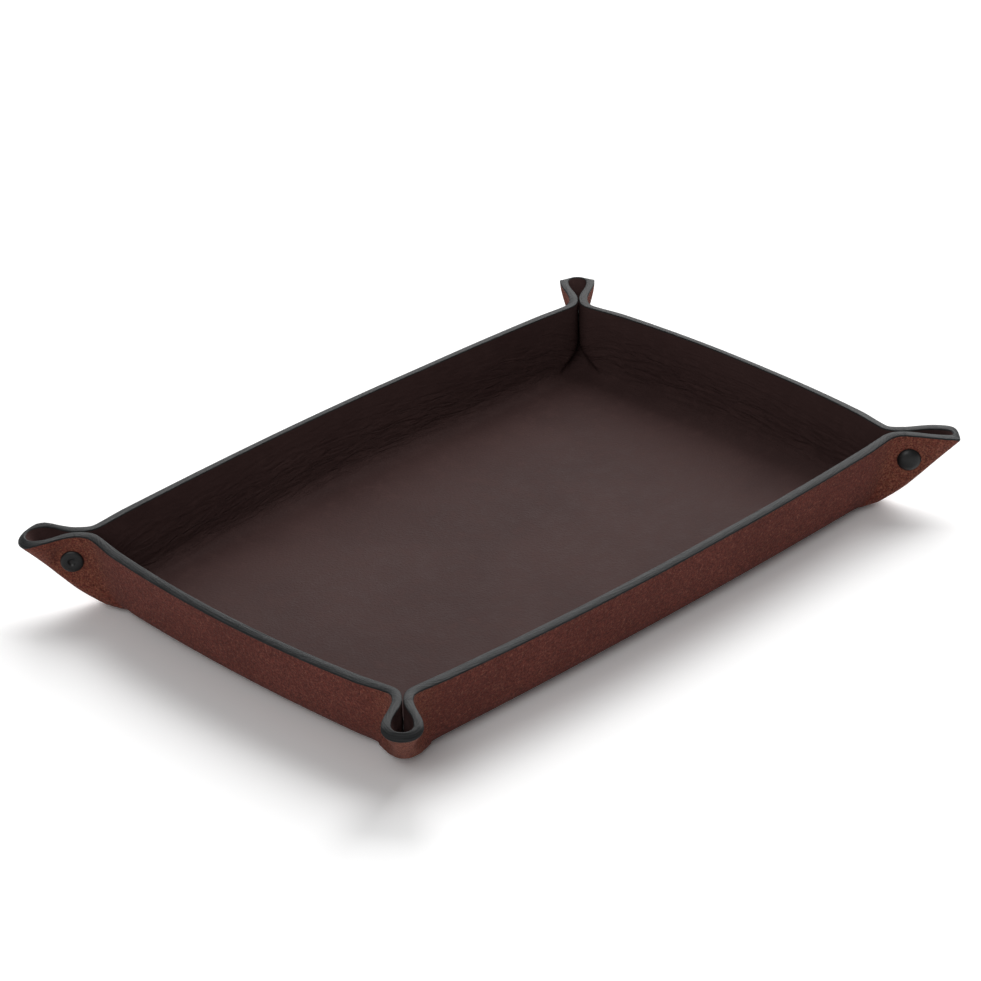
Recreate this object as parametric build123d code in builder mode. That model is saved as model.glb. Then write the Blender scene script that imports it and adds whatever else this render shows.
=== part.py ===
from build123d import *
import math
import os

# A valet tray: one thick sheet of leather whose four corners are pinched outwards into ears.
# A press stud goes through the two layers of every ear and keeps it closed.
# +X runs along the length and +Z up. The origin is the centre of the underside.

# The leather sheet
leather_thickness = 4.0
base_length = 272.0
base_width = 163.0
rim_height = 34.5
bend_radius = 7.0
wall_slope = 81.0
side_wall_bow = 5.5
end_wall_bow = 7.0

# The fold under an ear, called the stem
base_corner_cut = 3.0
stem_radius = 38.0
stem_slope = 44.0

# An ear seen from above: a pinched neck that opens into a loop
layer_gap = 0.4
neck_turn = 45.0
neck_bend_radius = 13.0
pinch_length = 1.0
loop_flare = 8.0
loop_half_width = 4.2
loop_end_length = 6.5
ear_drop = 1.8
ear_trim_half_width = 20.0
tight_loop_length = 4.0
tight_loop_half_width = 0.5
nose_reach = 2.0
closing_reach = 11.0
corner_run = 26.0
cut_overrun = 2.0

# Heights of the outlines that the sheet is lofted through, as shares of the rim height
outer_level_shares = (0, 0.0015, 0.006, 0.0135, 0.024, 0.052, 0.1, 0.17, 0.25, 0.34, 0.45, 0.56, 0.68, 0.84, 1)
inner_level_shares = (0, 0.02, 0.07, 0.14, 0.24, 0.36, 0.48, 0.6, 0.8, 1)

# The outline of a half-closed ear, as shares of the leather thickness, with its headings in degrees
inner_nose_shares = ((-2.4, 2.4, -45), (-1.15, 1.5, -36), (-0.5, 1.15, -28), (0.15, 0.75, -50))
outer_nose_shares = ((-2.4, 2.4, -45), (-1.85, 2.1, -36), (-1.25, 1.82, -27), (-0.3, 1.28, -48))
fillet_turn_shares = (0.89, 0.6, 0.4, 0.2)
opening_start_share = 0.3
loop_offset_share = 0.9

# How long the curves' handles are, as shares of the distance between two knots
neck_handle_share = 0.38
plain_handle_share = 0.33
flare_handle_share = 0.42
small_loop_handle_share = 0.38
large_loop_handle_share = 0.42

# A press stud
stud_out_along_ear = 10.5
stud_below_rim = 12.0
cap_radius = 5.2
cap_height = 2.4
cap_rim_height = 0.7
cap_seat_depth = 0.35
sheet_metal = 0.45
barrel_radius = 1.5
post_radius = 4.9
post_height = 1.1
post_rim_height = 0.4
post_dimple_radius = 1.7
post_dimple_depth = 0.7
socket_radius = 4.5
socket_depth = 2.0
socket_bore_radius = 2.35
spring_groove_radius = 2.9
spring_wire = 0.6
spring_gap_angle = 40.0
stud_flange_radius = 4.3
stud_flange_height = 0.8
stud_head_radius = 1.95
stud_neck_radius = 1.55
stud_head_height = 1.5
piece_clearance = 0.1
edge_break = 0.15

# The four corners: their signs along the length and the width
corners = {
    "front_left": (-1, -1),
    "front_right": (1, -1),
    "rear_left": (-1, 1),
    "rear_right": (1, 1),
}
diagonal = math.sqrt(2)


def bend_reach(height, radius, inner_radius, slope):
    """How far a bend that starts flat on the base has come out at a height."""
    centre = inner_radius + leather_thickness
    turn = math.radians(slope)
    bend_end = centre - radius * math.cos(turn)
    if height < bend_end:
        return math.sqrt(max(radius**2 - (centre - height) ** 2, 0))
    return radius * math.sin(turn) + (height - bend_end) / math.tan(turn)


def wall_reach(height, offset):
    return bend_reach(height, bend_radius + offset, bend_radius, wall_slope)


def stem_reach(height, offset):
    """How far the stem's fold stands out of the corner of the base, along the diagonal."""
    return bend_reach(height, stem_radius + offset, stem_radius, stem_slope) - base_corner_cut


def fold_reach(height, offset):
    """How far the stem's fold stands out of the corner where the two walls would meet."""
    return stem_reach(height, offset) - diagonal * wall_reach(height, offset)


def rounded_knots():
    """Knots of a plain rounded corner. A knot is a place along the diagonal, one across it, a heading."""
    radius = base_corner_cut / (diagonal - 1)
    knots = []
    for share in fillet_turn_shares:
        turn = math.radians(45 * share)
        along = radius * (math.cos(turn) - diagonal)
        knots.append((along, radius * math.sin(turn), 45 * share - 90))
    return knots


def nose_knots(offset):
    shares = outer_nose_shares if offset else inner_nose_shares
    return [(along * leather_thickness, across * leather_thickness, turn) for along, across, turn in shares]


def pinched_knots(fold, offset, opening, neck_tilt):
    """Knots of a closed neck and its loop, which is tight by the stud and opens towards the rim."""
    corner_shift = diagonal * offset / math.sin(math.radians(wall_slope))
    half_gap = layer_gap / 2 + offset
    half_turn = math.tan(math.radians(neck_turn / 2))
    tangent = (neck_bend_radius - offset) * half_turn
    bend_side = tangent / diagonal
    wide_pinch_end = neck_bend_radius * half_turn - layer_gap / 2 + pinch_length - corner_shift
    loop_end = fold - offset * loop_offset_share
    tight = [
        (fold - tight_loop_length - corner_shift, half_gap, 0),
        (loop_end - tight_loop_length / 2, tight_loop_half_width + offset, 0),
    ]
    wide = [
        (wide_pinch_end, half_gap, loop_flare),
        (loop_end - loop_end_length, loop_half_width + offset, 0),
    ]
    neck = [
        (-half_gap - bend_side, half_gap + bend_side, -45 - neck_tilt),
        (tangent - half_gap, half_gap, 0),
    ]
    return neck + mix(tight, wide, opening)


def mix(first, second, share):
    return [tuple(a + (b - a) * share for a, b in zip(one, other)) for one, other in zip(first, second)]


def wall_bow(half_wall, bow):
    """How far out a bowed wall is where its corner begins, and its turn there and at the neck."""
    end = half_wall - corner_run
    out = bow * (1 - (end / half_wall) ** 2)
    turns = [math.degrees(math.atan(2 * bow * place / half_wall**2)) for place in (end, half_wall)]
    return out, *turns


def corner_knots(height, offset, half_wall, bow):
    """The corner's outline at a height, from the bowed wall to the fold."""
    bow_out, end_tilt, neck_tilt = wall_bow(half_wall, bow)
    fold = fold_reach(height, offset)
    if fold < nose_reach:
        share = max(fold + base_corner_cut, 0) / (nose_reach + base_corner_cut)
        knots = mix(rounded_knots(), nose_knots(offset), share)
    elif fold < closing_reach:
        left = (closing_reach - fold) / (closing_reach - nose_reach)
        knots = mix(nose_knots(offset), pinched_knots(closing_reach, offset, 0, neck_tilt), 1 - left**2)
    else:
        growth = (fold - closing_reach) / (fold_reach(rim_height, offset) - closing_reach)
        opened = max(0, growth - opening_start_share) / (1 - opening_start_share)
        knots = pinched_knots(fold, offset, opened**2 * (3 - 2 * opened), neck_tilt)
    start = ((bow_out - corner_run) / diagonal, (bow_out + corner_run) / diagonal, -45 - end_tilt)
    return [start] + knots + [(fold, 0, -90)]


def corner_curves(height, offset, half_wall, bow):
    """Control points of the five curves from a wall to the fold, along the wall and out from the centre."""
    full = max(0, min(1, fold_reach(height, offset) / fold_reach(rim_height, offset)))
    loop_share = small_loop_handle_share + (large_loop_handle_share - small_loop_handle_share) * full
    handles = (plain_handle_share, neck_handle_share, plain_handle_share, flare_handle_share, loop_share)
    knots = corner_knots(height, offset, half_wall, bow)
    curves = []
    for (x0, y0, turn0), (x1, y1, turn1), share in zip(knots, knots[1:], handles):
        reach = math.hypot(x1 - x0, y1 - y0) * share
        out, back = math.radians(turn0), math.radians(turn1)
        first = (x0 + reach * math.cos(out), y0 + reach * math.sin(out))
        second = (x1 - reach * math.cos(back), y1 - reach * math.sin(back))
        curves.append(((x0, y0), first, second, (x1, y1)))
    return curves


def corner_place(along, across, half_wall, wall):
    """A place given by the diagonal, turned into one along a wall and out from the centre."""
    return half_wall + (along - across) / diagonal, wall + (along + across) / diagonal


def wall_curves(height, offset, half_wall, wall, bow):
    """The curves from a wall to its fold and the bowed wall itself, as places along it and out."""
    curves = corner_curves(height, offset, half_wall, bow)
    placed = [[corner_place(*spot, half_wall, wall) for spot in curve] for curve in curves]
    along, out = placed[0][0]
    peak = wall + bow * (1 + (along / half_wall) ** 2)
    return placed, [(along, out), (0, peak), (-along, out)]


def outline_face(height, offset):
    """The area inside the sheet's outline at a height, on its inner face or on its outer one."""
    reach = wall_reach(height, offset)
    bow_share = reach / wall_reach(rim_height, offset)
    half_length = base_length / 2 + reach
    half_width = base_width / 2 + reach
    by_side, side_wall = wall_curves(height, offset, half_length, half_width, side_wall_bow * bow_share)
    by_end, end_wall = wall_curves(height, offset, half_width, half_length, end_wall_bow * bow_share)
    spans = []
    for along, across in ((1, 1), (-1, 1), (-1, -1), (1, -1)):
        on_side = [[(along * a, across * b, height) for a, b in curve] for curve in by_side + [side_wall]]
        on_end = [[(along * b, across * a, height) for a, b in curve] for curve in by_end + [end_wall]]
        first, second = (on_end, on_side) if along == across else (on_side, on_end)
        spans += first[:-1]
        spans += [curve[::-1] for curve in second[-2::-1]]
        spans.append(second[-1])
    return Face(Wire([Edge.make_bezier(*span) for span in spans]))


def stud_plane(signs):
    """A plane through a stud: x out along the ear, y from the end wall to the side wall."""
    along, across = signs
    height = rim_height - stud_below_rim
    out = wall_reach(height, 0) + stud_out_along_ear / diagonal
    centre = Vector(along * (base_length / 2 + out), across * (base_width / 2 + out), height)
    outward = Vector(along, across, 0)
    upward = Vector(0, 0, 1)
    to_side_wall = Vector(-along, across, 0)
    if outward.cross(to_side_wall).dot(upward) > 0:
        return Plane(origin=centre, x_dir=outward, z_dir=upward)
    return Plane(origin=centre, x_dir=outward, z_dir=-upward)


def trim_plane(signs):
    """The upright plane through an ear's fold: x out from where the walls would meet, y up from the rim."""
    along, across = signs
    reach = wall_reach(rim_height, 0)
    corner = Vector(along * (base_length / 2 + reach), across * (base_width / 2 + reach), rim_height)
    outward = Vector(along, across, 0)
    return Plane(origin=corner, x_dir=outward, z_dir=outward.cross(Vector(0, 0, 1)))


def stud_axis(plane):
    return Axis(plane.origin, plane.y_dir)


outer_face = layer_gap / 2 + leather_thickness
cap_seat = outer_face - cap_seat_depth
post_seat = outer_face - cap_seat_depth
socket_seat = layer_gap / 2 + socket_depth
flange_seat = layer_gap / 2 + stud_flange_height


def make_sheet():
    outer_heights = [rim_height * share for share in outer_level_shares]
    inner_depth = rim_height - leather_thickness
    inner_heights = [leather_thickness + inner_depth * share for share in inner_level_shares]
    inner_heights.append(rim_height + cut_overrun)
    with BuildPart() as sheet:
        loft([outline_face(height, leather_thickness) for height in outer_heights], clean=False)
        loft([outline_face(height, 0) for height in inner_heights], mode=Mode.SUBTRACT, clean=False)
        tip = stem_reach(rim_height, leather_thickness) - diagonal * wall_reach(rim_height, 0) + cut_overrun
        for signs in corners.values():
            with BuildSketch(trim_plane(signs)):
                with BuildLine():
                    Bezier((0, 0), (tip / 2, 0), (tip, -ear_drop))
                    Polyline((tip, -ear_drop), (tip, cut_overrun), (0, cut_overrun), (0, 0))
                make_face()
            extrude(amount=ear_trim_half_width, both=True, mode=Mode.SUBTRACT, clean=False)
            plane = stud_plane(signs)
            across = Plane(origin=plane.origin, x_dir=plane.x_dir, z_dir=plane.y_dir)
            for start, end, radius in (
                (-outer_face - cut_overrun, outer_face + cut_overrun, barrel_radius),
                (0, socket_seat + piece_clearance, socket_radius),
                (-flange_seat - piece_clearance, 0, stud_flange_radius),
                (cap_seat - piece_clearance, cap_seat + cap_height, cap_radius),
                (-post_seat - cap_height, piece_clearance - post_seat, post_radius),
            ):
                with BuildSketch(across.offset(start)):
                    Circle(radius + piece_clearance)
                extrude(amount=end - start, mode=Mode.SUBTRACT, clean=False)
    sheet.part.label = "leather_sheet"
    return sheet.part


def make_cap(plane, name):
    """The domed cap on the side wall's layer, with the barrel that is set into the socket."""
    barrel_end = socket_seat - sheet_metal
    with BuildPart() as cap:
        with BuildSketch(plane):
            with BuildLine():
                Polyline(
                    (0, cap_seat + sheet_metal),
                    (barrel_radius - sheet_metal, cap_seat + sheet_metal),
                    (barrel_radius - sheet_metal, barrel_end),
                    (barrel_radius, barrel_end),
                    (barrel_radius, cap_seat),
                    (cap_radius - edge_break, cap_seat),
                    (cap_radius, cap_seat + edge_break),
                    (cap_radius, cap_seat + cap_rim_height),
                )
                rise = cap_height - cap_rim_height
                dome_radius = (cap_radius**2 + rise**2) / (2 * rise)
                dome_turn = math.degrees(math.asin(cap_radius / dome_radius))
                dome_centre = (0, cap_seat + cap_height - dome_radius)
                dome = CenterArc(dome_centre, dome_radius, 90 - dome_turn, dome_turn)
                Line(dome @ 1, (0, cap_seat + sheet_metal))
            make_face()
        revolve(axis=stud_axis(plane))
    cap.part.label = name
    return cap.part


def make_socket(plane, name):
    """The socket on the inner face of the side wall's layer, open towards the stud."""
    mouth = piece_clearance - layer_gap / 2
    floor = socket_seat - sheet_metal
    groove_low = spring_height - spring_wire / 2 - piece_clearance
    groove_high = spring_height + spring_wire / 2 + piece_clearance
    with BuildPart() as socket:
        with BuildSketch(plane):
            with BuildLine():
                Polyline(
                    (barrel_radius + piece_clearance, socket_seat),
                    (barrel_radius + piece_clearance, floor),
                    (socket_bore_radius, floor),
                    (socket_bore_radius, groove_high),
                    (spring_groove_radius, groove_high),
                    (spring_groove_radius, groove_low),
                    (socket_bore_radius, groove_low),
                    (socket_bore_radius, mouth),
                    (socket_radius - edge_break, mouth),
                    (socket_radius, mouth + edge_break),
                    (socket_radius, socket_seat),
                    close=True,
                )
            make_face()
        revolve(axis=stud_axis(plane))
    socket.part.label = name
    return socket.part


def make_spring(plane, name):
    """A ring of wire with a gap in it, which lies in the socket's groove and grips the stud."""
    centre_radius = spring_groove_radius - spring_wire / 2 - piece_clearance / 2
    with BuildPart() as spring:
        with BuildSketch(plane):
            with Locations((centre_radius, spring_height)):
                Circle(spring_wire / 2)
        revolve(axis=stud_axis(plane), revolution_arc=360 - spring_gap_angle)
    spring.part.label = name
    return spring.part


def make_stud(plane, name):
    """The stud on the end wall's layer: a flange and a necked head, hollow for its post."""
    low = -flange_seat
    step = low + sheet_metal
    top = low + stud_flange_height + stud_head_height
    neck_end = top - stud_head_height / 2
    hollow = barrel_radius - sheet_metal
    with BuildPart() as stud:
        with BuildSketch(plane):
            with BuildLine():
                Polyline(
                    (hollow + piece_clearance, low),
                    (stud_flange_radius, low),
                    (stud_flange_radius, step),
                    (stud_neck_radius, step),
                    (stud_neck_radius, neck_end),
                    (stud_head_radius, neck_end + stud_head_radius - stud_neck_radius),
                    (stud_head_radius, top - edge_break),
                    (stud_head_radius - edge_break, top),
                    (0, top),
                    (0, top - sheet_metal),
                    (hollow + piece_clearance, top - sheet_metal),
                    close=True,
                )
            make_face()
        revolve(axis=stud_axis(plane))
    stud.part.label = name
    return stud.part


def make_post(plane, name):
    """The post on the end wall's outer face: a low disc with a dimple, and a barrel set into the stud."""
    hollow = barrel_radius - sheet_metal
    barrel_end = stud_flange_height
    back = -post_seat - post_height
    dimple_floor = back + post_dimple_depth
    with BuildPart() as post:
        with BuildSketch(plane):
            with BuildLine():
                Polyline(
                    (0, dimple_floor + sheet_metal),
                    (0, dimple_floor),
                    (post_dimple_radius / 2, dimple_floor),
                    (post_dimple_radius, back),
                    (post_radius - post_rim_height, back),
                    (post_radius, -post_seat - post_rim_height),
                    (post_radius, -post_seat),
                    (barrel_radius, -post_seat),
                    (barrel_radius, -flange_seat),
                    (hollow, -flange_seat),
                    (hollow, barrel_end),
                    (hollow - sheet_metal, barrel_end),
                    (hollow - sheet_metal, dimple_floor + sheet_metal),
                    close=True,
                )
            make_face()
        revolve(axis=stud_axis(plane))
    post.part.label = name
    return post.part


spring_height = layer_gap / 2 + spring_wire / 2 + piece_clearance

os.makedirs("parts", exist_ok=True)
pieces = [make_sheet()]
for corner, signs in corners.items():
    plane = stud_plane(signs)
    pieces.append(make_cap(plane, "snap_cap_" + corner))
    pieces.append(make_socket(plane, "snap_socket_" + corner))
    pieces.append(make_spring(plane, "snap_spring_" + corner))
    pieces.append(make_stud(plane, "snap_stud_" + corner))
    pieces.append(make_post(plane, "snap_post_" + corner))
for piece in pieces:
    export_step(piece, "parts/" + piece.label + ".step")
    print(piece.label, "volume", round(piece.volume, 1))
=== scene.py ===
# %% [markdown]
# A valet tray is one thick sheet of leather. Its four corners are pinched outwards into ears, and a press
# stud holds each ear closed. The construction model holds the sheet and the studs at their real size. This
# script loads it and builds the leather again as a fine mesh: a rim cut square through the sheet, rounded
# edges, dents under the studs, and a grain side, a flesh side and a cut edge with finishes of their own.

import math

import bmesh
import bpy
import numpy as np
from mathutils import Matrix, Vector


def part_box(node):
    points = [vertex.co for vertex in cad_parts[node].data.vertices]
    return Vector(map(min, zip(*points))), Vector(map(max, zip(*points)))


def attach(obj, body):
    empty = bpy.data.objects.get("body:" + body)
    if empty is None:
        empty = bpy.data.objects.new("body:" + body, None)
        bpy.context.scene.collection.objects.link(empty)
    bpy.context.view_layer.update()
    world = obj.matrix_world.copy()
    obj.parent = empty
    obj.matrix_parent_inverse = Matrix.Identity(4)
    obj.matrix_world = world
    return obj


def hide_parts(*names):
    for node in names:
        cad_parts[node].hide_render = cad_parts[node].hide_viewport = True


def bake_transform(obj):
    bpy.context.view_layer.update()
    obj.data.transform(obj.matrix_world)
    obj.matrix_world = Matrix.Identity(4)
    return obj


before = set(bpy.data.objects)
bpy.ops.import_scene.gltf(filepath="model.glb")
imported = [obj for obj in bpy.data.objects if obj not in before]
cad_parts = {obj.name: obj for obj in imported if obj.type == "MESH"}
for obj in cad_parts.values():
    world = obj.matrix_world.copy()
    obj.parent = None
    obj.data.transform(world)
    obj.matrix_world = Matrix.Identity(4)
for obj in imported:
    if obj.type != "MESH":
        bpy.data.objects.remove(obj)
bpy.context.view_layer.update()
sheet_low, sheet_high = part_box("leather_sheet")
millimetre = 0.001


def in_millimetres(length, digits=1):
    return round(float(length) / millimetre, digits)


print("the sheet is", [in_millimetres(size) for size in sheet_high - sheet_low], "mm")

# %% [markdown]
# The leather follows a rule, so it is written as one. At each height the sheet has an outline, made of
# Bezier curves: four bowed walls, and at every corner a neck that is pinched shut and opens into a loop.
# The sizes below are the ones that the real sheet is cut and folded to. All are in metres and degrees.

# %% Sizes of the sheet
leather_thickness = 0.004
base_length = 0.272
base_width = 0.163
rim_height = sheet_high.z
bend_radius = 0.007
wall_slope = 81
side_wall_bow = 0.0055
end_wall_bow = 0.007
base_corner_cut = 0.003
stem_radius = 0.038
stem_slope = 44
layer_gap = 0.0004
neck_turn = 45
neck_bend_radius = 0.013
pinch_length = 0.001
loop_flare = 8
ear_drop = 0.0018
back_ear_drop = 0
tight_loop_length = 0.004
tight_loop_half_width = 0.0005
nose_reach = 0.002
closing_reach = 0.011
corner_run = 0.026
stud_out_along_ear = 0.0105
stud_below_rim = 0.012
root_two = math.sqrt(2)

# No two ears of the real tray open alike: half the width inside each one's loop, and the widest place's
# distance from the loop's end, both at the rim
loops = {
    (-1, -1): (0.0045, 0.0046),
    (1, -1): (0.0026, 0.0065),
    (-1, 1): (0.006, 0.0065),
    (1, 1): (0.0042, 0.0046),
}
corners = {"front_left": (-1, -1), "front_right": (1, -1), "rear_left": (-1, 1), "rear_right": (1, 1)}

# %% Shares that shape the outline of an ear
inner_nose_shares = ((-2.4, 2.65, -42), (-1.1, 1.9, -40), (-0.5, 1.5, -43), (0.1, 0.95, -58))
outer_nose_shares = ((-2.4, 2.7, -42), (-1.6, 2.4, -38), (-0.9, 2.0, -40), (-0.1, 1.45, -56))
fillet_turn_shares = (0.89, 0.6, 0.4, 0.2)
opening_start_share = 0.3
loop_offset_share = 0.9
plain_handle_share = 0.33
neck_handle_share = 0.38
flare_handle_share = 0.42
small_loop_handle_share = 0.38
large_loop_handle_share = 0.42

# %% [markdown]
# A wall leaves the base in a bend and then runs straight up at its slope. The fold under an ear, the stem,
# does the same with a much larger radius and a lower slope, so the ears spring out of the corners.

# %% How far the walls and the stems have come out at a height


def bend_reach(height, radius, inner_radius, slope):
    centre = inner_radius + leather_thickness
    turn = math.radians(slope)
    bend_end = centre - radius * math.cos(turn)
    if height < bend_end:
        return math.sqrt(max(radius**2 - (centre - height) ** 2, 0))
    return radius * math.sin(turn) + (height - bend_end) / math.tan(turn)


def wall_reach(height, offset):
    return bend_reach(height, bend_radius + offset, bend_radius, wall_slope)


def stem_reach(height, offset):
    return bend_reach(height, stem_radius + offset, stem_radius, stem_slope) - base_corner_cut


def fold_reach(height, offset):
    return stem_reach(height, offset) - root_two * wall_reach(height, offset)


print("the stem stands out", in_millimetres(fold_reach(rim_height, 0)), "mm at the rim")

# %% [markdown]
# One corner is drawn along and across its diagonal. Low down it is a plain rounded corner, then a blunt
# nose, and above that a closed neck with a growing loop. Knots hold places and headings, in degrees from
# the diagonal, and two states are mixed knot by knot, so one state turns smoothly into the next.

# %% The knots of a corner
wall_heading = -45
fold_heading = -90


def rounded_knots():
    radius = base_corner_cut / (root_two - 1)
    knots = []
    for share in fillet_turn_shares:
        degrees = (wall_heading - fold_heading) * share
        turn = math.radians(degrees)
        place = (radius * (math.cos(turn) - root_two), radius * math.sin(turn))
        knots.append((*place, fold_heading + degrees))
    return knots


def nose_knots(offset):
    shares = outer_nose_shares if offset else inner_nose_shares
    return [(along * leather_thickness, across * leather_thickness, turn) for along, across, turn in shares]


def pinched_knots(fold, offset, opening, neck_tilt, loop):
    """A closed neck and its loop, which is tight by the stud and opens towards the rim."""
    loop_half_width, loop_end_length = loop
    corner_shift = root_two * offset / math.sin(math.radians(wall_slope))
    half_gap = layer_gap / 2 + offset
    half_turn = math.tan(math.radians(neck_turn / 2))
    tangent = (neck_bend_radius - offset) * half_turn
    bend_side = tangent / root_two
    wide_pinch_end = neck_bend_radius * half_turn - layer_gap / 2 + pinch_length - corner_shift
    loop_end = fold - offset * loop_offset_share
    tight = [
        (fold - tight_loop_length - corner_shift, half_gap, 0),
        (loop_end - tight_loop_length / 2, tight_loop_half_width + offset, 0),
    ]
    wide = [(wide_pinch_end, half_gap, loop_flare), (loop_end - loop_end_length, loop_half_width + offset, 0)]
    neck = [
        (-half_gap - bend_side, half_gap + bend_side, wall_heading - neck_tilt),
        (tangent - half_gap, half_gap, 0),
    ]
    return neck + mix(tight, wide, opening)


def mix(first, second, share):
    return [tuple(a + (b - a) * share for a, b in zip(one, other)) for one, other in zip(first, second)]


def smooth_step(share):
    return share**2 * (3 - 2 * share)


def wall_bow(half_wall, bow):
    """How far out a bowed wall is where its corner begins, and its turn there and at the neck."""
    end = half_wall - corner_run
    out = bow * (1 - (end / half_wall) ** 2)
    turns = [math.degrees(math.atan(2 * bow * place / half_wall**2)) for place in (end, half_wall)]
    return out, *turns


def corner_knots(height, offset, half_wall, bow, loop):
    bow_out, end_tilt, neck_tilt = wall_bow(half_wall, bow)
    fold = fold_reach(height, offset)
    if fold < nose_reach:
        share = max(fold + base_corner_cut, 0) / (nose_reach + base_corner_cut)
        knots = mix(rounded_knots(), nose_knots(offset), share)
    elif fold < closing_reach:
        left = (closing_reach - fold) / (closing_reach - nose_reach)
        knots = mix(nose_knots(offset), pinched_knots(closing_reach, offset, 0, neck_tilt, loop), 1 - left)
    else:
        growth = (fold - closing_reach) / (fold_reach(rim_height, offset) - closing_reach)
        opened = max(0, growth - opening_start_share) / (1 - opening_start_share)
        knots = pinched_knots(fold, offset, smooth_step(opened), neck_tilt, loop)
    start = ((bow_out - corner_run) / root_two, (bow_out + corner_run) / root_two, wall_heading - end_tilt)
    return [start] + knots + [(fold, 0, fold_heading)]


# %% [markdown]
# Each pair of knots gets a cubic Bezier curve. Every curve is always cut into the same number of steps, so
# the points of one height line up with those of the next, and the rows can be joined into a grid of quads.

# %% The outline at a height
corner_steps = (8, 10, 12, 10, 14)
side_wall_steps = 76
end_wall_steps = 50


def bezier(handles, steps):
    """Points along the Bezier curve of these handles, from its start to the last one before its end."""
    degree = len(handles) - 1
    t = np.arange(steps) / steps
    weights = [math.comb(degree, k) * t**k * (1 - t) ** (degree - k) for k in range(degree + 1)]
    return np.array(weights).T @ np.array(handles)


def corner_curves(height, offset, half_wall, bow, loop):
    full = max(0, min(1, fold_reach(height, offset) / fold_reach(rim_height, offset)))
    loop_share = small_loop_handle_share + (large_loop_handle_share - small_loop_handle_share) * full
    handles = (plain_handle_share, neck_handle_share, plain_handle_share, flare_handle_share, loop_share)
    knots = corner_knots(height, offset, half_wall, bow, loop)
    curves = []
    for (x0, y0, turn0), (x1, y1, turn1), share in zip(knots, knots[1:], handles):
        reach = math.hypot(x1 - x0, y1 - y0) * share
        out, back = math.radians(turn0), math.radians(turn1)
        first = (x0 + reach * math.cos(out), y0 + reach * math.sin(out))
        second = (x1 - reach * math.cos(back), y1 - reach * math.sin(back))
        curves.append(((x0, y0), first, second, (x1, y1)))
    return curves


def corner_place(along, across, half_wall, wall):
    return half_wall + (along - across) / root_two, wall + (along + across) / root_two


def wall_curves(height, offset, half_wall, wall, bow, loop):
    """The curves from a wall to its fold and the bowed wall itself, as places along it and out."""
    curves = corner_curves(height, offset, half_wall, bow, loop)
    placed = [[corner_place(*spot, half_wall, wall) for spot in curve] for curve in curves]
    along, out = placed[0][0]
    peak = wall + bow * (1 + (along / half_wall) ** 2)
    return placed, [(along, out), (0, peak), (-along, out)]


def outline(height, offset):
    reach = wall_reach(height, offset)
    bow_share = reach / wall_reach(rim_height, offset)
    half_length = base_length / 2 + reach
    half_width = base_width / 2 + reach
    side_bow, end_bow = side_wall_bow * bow_share, end_wall_bow * bow_share
    points = []
    for along, across in ((1, 1), (-1, 1), (-1, -1), (1, -1)):
        loop = loops[(along, across)]
        by_side, side_wall = wall_curves(height, offset, half_length, half_width, side_bow, loop)
        by_end, end_wall = wall_curves(height, offset, half_width, half_length, end_bow, loop)
        on_side = [[(along * a, across * b) for a, b in curve] for curve in by_side + [side_wall]]
        on_end = [[(along * b, across * a) for a, b in curve] for curve in by_end + [end_wall]]
        first, second = (on_end, on_side) if along == across else (on_side, on_end)
        wall_steps = side_wall_steps if along == across else end_wall_steps
        spans = first[:-1] + [curve[::-1] for curve in second[-2::-1]]
        steps = corner_steps + corner_steps[::-1]
        for span, count in zip(spans, steps):
            points.append(bezier(span, count))
        points.append(bezier(second[-1], wall_steps))
    return np.concatenate(points)


rim_outline = outline(rim_height, 0)
around = len(rim_outline)
steps_along = np.linalg.norm(np.roll(rim_outline, -1, axis=0) - rim_outline, axis=1)
distance_round = np.concatenate([[0], np.cumsum(steps_along)[:-1]])
print(around, "points round the rim, which is", in_millimetres(steps_along.sum(), 0), "mm long")

# %% [markdown]
# The two faces of the sheet are stacks of outlines. The cut edge stands square to the leather, so where the
# sheet leans, the outer face stops lower than the inner one. That shows most at the tip of an ear, where
# the leather leans by more than forty degrees and its thickness faces the eye.

# %% The inner and the outer face as grids of points
edge_round = 0.0006
bend_rows = 10
wall_rows = 30
table_step = 0.0005
table_smoothing = 24
outward_smoothing = 6


def stack(heights, offset):
    rows = [np.column_stack([outline(h, offset), np.full(around, h)]) for h in heights]
    return np.array(rows)


def bend_heights(offset):
    turns = np.radians(np.linspace(0, wall_slope, bend_rows))
    centre = bend_radius + leather_thickness
    return centre - (bend_radius + offset) * np.cos(turns)


def wall_grid(offset, tops):
    """Rows of points up the walls, from the end of the bend to a top height of its own at every point.

    The places come from a table of outlines at even heights, which is smoothed from row to row.
    """
    bottom = bend_heights(offset)[-1]
    column = np.arange(around)
    heights = np.arange(bottom, rim_height + table_step, table_step)
    table = stack(heights, offset)
    for _ in range(table_smoothing):
        table[1:-1] = (table[:-2] + 2 * table[1:-1] + table[2:]) / 4
    rows = []
    for share in np.linspace(0, 1, wall_rows)[1:]:
        height = bottom + share * (tops - bottom)
        place = (height - bottom) / table_step
        low = np.clip(place.astype(int), 0, len(heights) - 2)
        rest = (place - low)[:, None]
        rows.append(table[low, column] * (1 - rest) + table[low + 1, column] * rest)
    return np.array(rows)


def smooth_round(values, times):
    for _ in range(times):
        values = (np.roll(values, 1, axis=0) + 2 * values + np.roll(values, -1, axis=0)) / 4
    return values


def unit_rows(vectors):
    return vectors / np.linalg.norm(vectors, axis=1)[:, None]


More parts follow.
